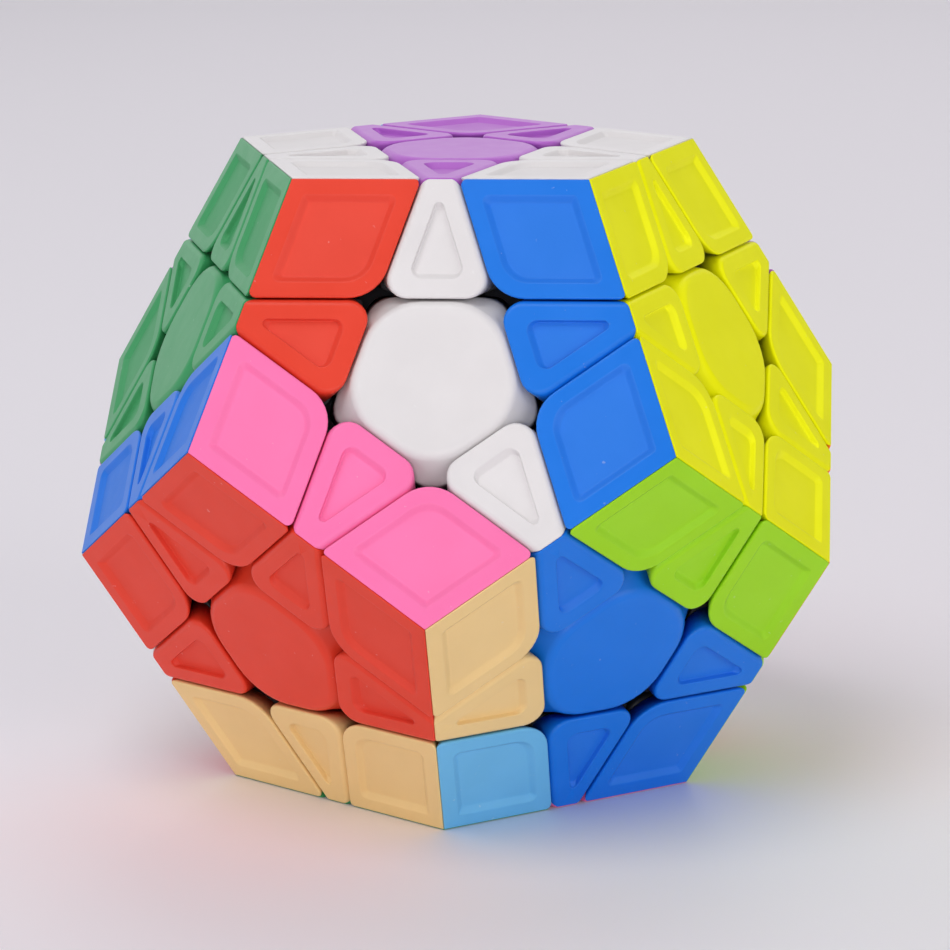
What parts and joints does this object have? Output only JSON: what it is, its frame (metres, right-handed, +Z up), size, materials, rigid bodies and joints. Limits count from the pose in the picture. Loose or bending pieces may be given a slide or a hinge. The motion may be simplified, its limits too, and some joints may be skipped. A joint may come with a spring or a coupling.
{
  "type": "dodecahedron twisty puzzle",
  "caption": "Twelve-sided twisty puzzle with coloured pieces on a hollow core; layers turn about their face axes",
  "frame": {"origin": "centre of the core ball, where all the face axes cross", "axes": "+Z up, standing on the face whose centre is pink; -Y points out of the white face's side (the front)"},
  "size_m": [0.0786, 0.0826, 0.0668],
  "materials": {
    "plastic_red": "satin moulded ABS, red",
    "plastic_blue": "satin moulded ABS, blue",
    "plastic_white": "satin moulded ABS, white",
    "plastic_pink": "satin moulded ABS, pink",
    "plastic_yellow": "satin moulded ABS, yellow",
    "plastic_lime": "satin moulded ABS, lime",
    "plastic_cream": "satin moulded ABS, cream",
    "plastic_sky": "satin moulded ABS, sky",
    "plastic_green": "satin moulded ABS, green",
    "plastic_purple": "satin moulded ABS, purple",
    "plastic_orange": "satin moulded ABS, orange",
    "plastic_gray": "satin moulded ABS, gray",
    "inner_plastic": "dark moulded ABS or nylon, unpainted",
    "screw_steel": "plain steel",
    "spring_steel": "bright spring wire"
  },
  "bodies": {
    "root": {"core_upper_half": "inner_plastic", "core_lower_half": "inner_plastic", "centre_screws": "screw_steel", "centre_washers": "screw_steel", "centre_springs": "spring_steel", "centre_caps_fixed": "plastic_purple", "centre_hubs_fixed": "inner_plastic", "corner_white_purple_green": "plastic_white", "corner_yellow_lime_orange": "plastic_yellow", "corner_purple_sky_green": "plastic_purple", "corner_orange_lime_gray": "plastic_orange", "corner_blue_white_red": "plastic_blue", "edge_white_yellow": "plastic_white", "edge_purple_orange": "plastic_purple", "edge_white_green": "plastic_white", "edge_yellow_lime": "plastic_yellow", "edge_yellow_orange": "plastic_yellow", "edge_sky_green": "plastic_sky", "edge_sky_orange": "plastic_sky", "edge_cream_gray": "plastic_cream", "edge_blue_red": "plastic_blue", "edge_green_purple": "plastic_green", "edge_cream_red": "plastic_cream", "edge_blue_lime": "plastic_blue", "edge_red_white": "plastic_red", "edge_sky_cream": "plastic_sky", "edge_gray_orange": "plastic_gray"},
    "layer_white": {"centre_white": "plastic_white", "corner_white_blue_yellow": "plastic_white", "corner_white_green_red": "plastic_white", "corner_blue_lime_yellow": "plastic_blue", "corner_pink_blue_red": "plastic_pink", "corner_pink_red_cream": "plastic_pink", "edge_purple_white": "plastic_purple", "edge_blue_yellow": "plastic_blue", "edge_red_green": "plastic_red", "edge_white_blue": "plastic_white", "edge_pink_red": "plastic_pink"},
    "layer_orange": {"centre_orange": "plastic_orange", "corner_white_yellow_purple": "plastic_white", "corner_purple_orange_sky": "plastic_purple", "corner_yellow_orange_purple": "plastic_yellow", "corner_lime_pink_gray": "plastic_lime", "corner_cream_gray_pink": "plastic_cream", "edge_purple_sky": "plastic_purple", "edge_yellow_purple": "plastic_yellow", "edge_pink_lime": "plastic_pink", "edge_pink_gray": "plastic_pink", "edge_cream_pink": "plastic_cream"},
    "layer_pink": {"centre_pink": "plastic_pink", "corner_sky_cream_green": "plastic_sky", "corner_blue_pink_lime": "plastic_blue", "corner_cream_red_green": "plastic_cream", "corner_cream_sky_gray": "plastic_cream", "corner_sky_orange_gray": "plastic_sky", "edge_blue_pink": "plastic_blue", "edge_cream_green": "plastic_cream", "edge_orange_lime": "plastic_orange", "edge_sky_gray": "plastic_sky", "edge_gray_lime": "plastic_gray"}
  },
  "joints": [
    {"name": "white_layer_turn", "type": "hinge", "parent": "root", "child": "layer_white", "pos_m": [0, 0, 0], "axis": [0, -0.8944, 0.4472], "continuous": true},
    {"name": "orange_layer_turn", "type": "hinge", "parent": "root", "child": "layer_orange", "pos_m": [0, 0, 0], "axis": [0.5257, 0.7236, 0.4472], "continuous": true},
    {"name": "pink_layer_turn", "type": "hinge", "parent": "root", "child": "layer_pink", "pos_m": [0, 0, 0], "axis": [0, 0, -1], "continuous": true}
  ]
}
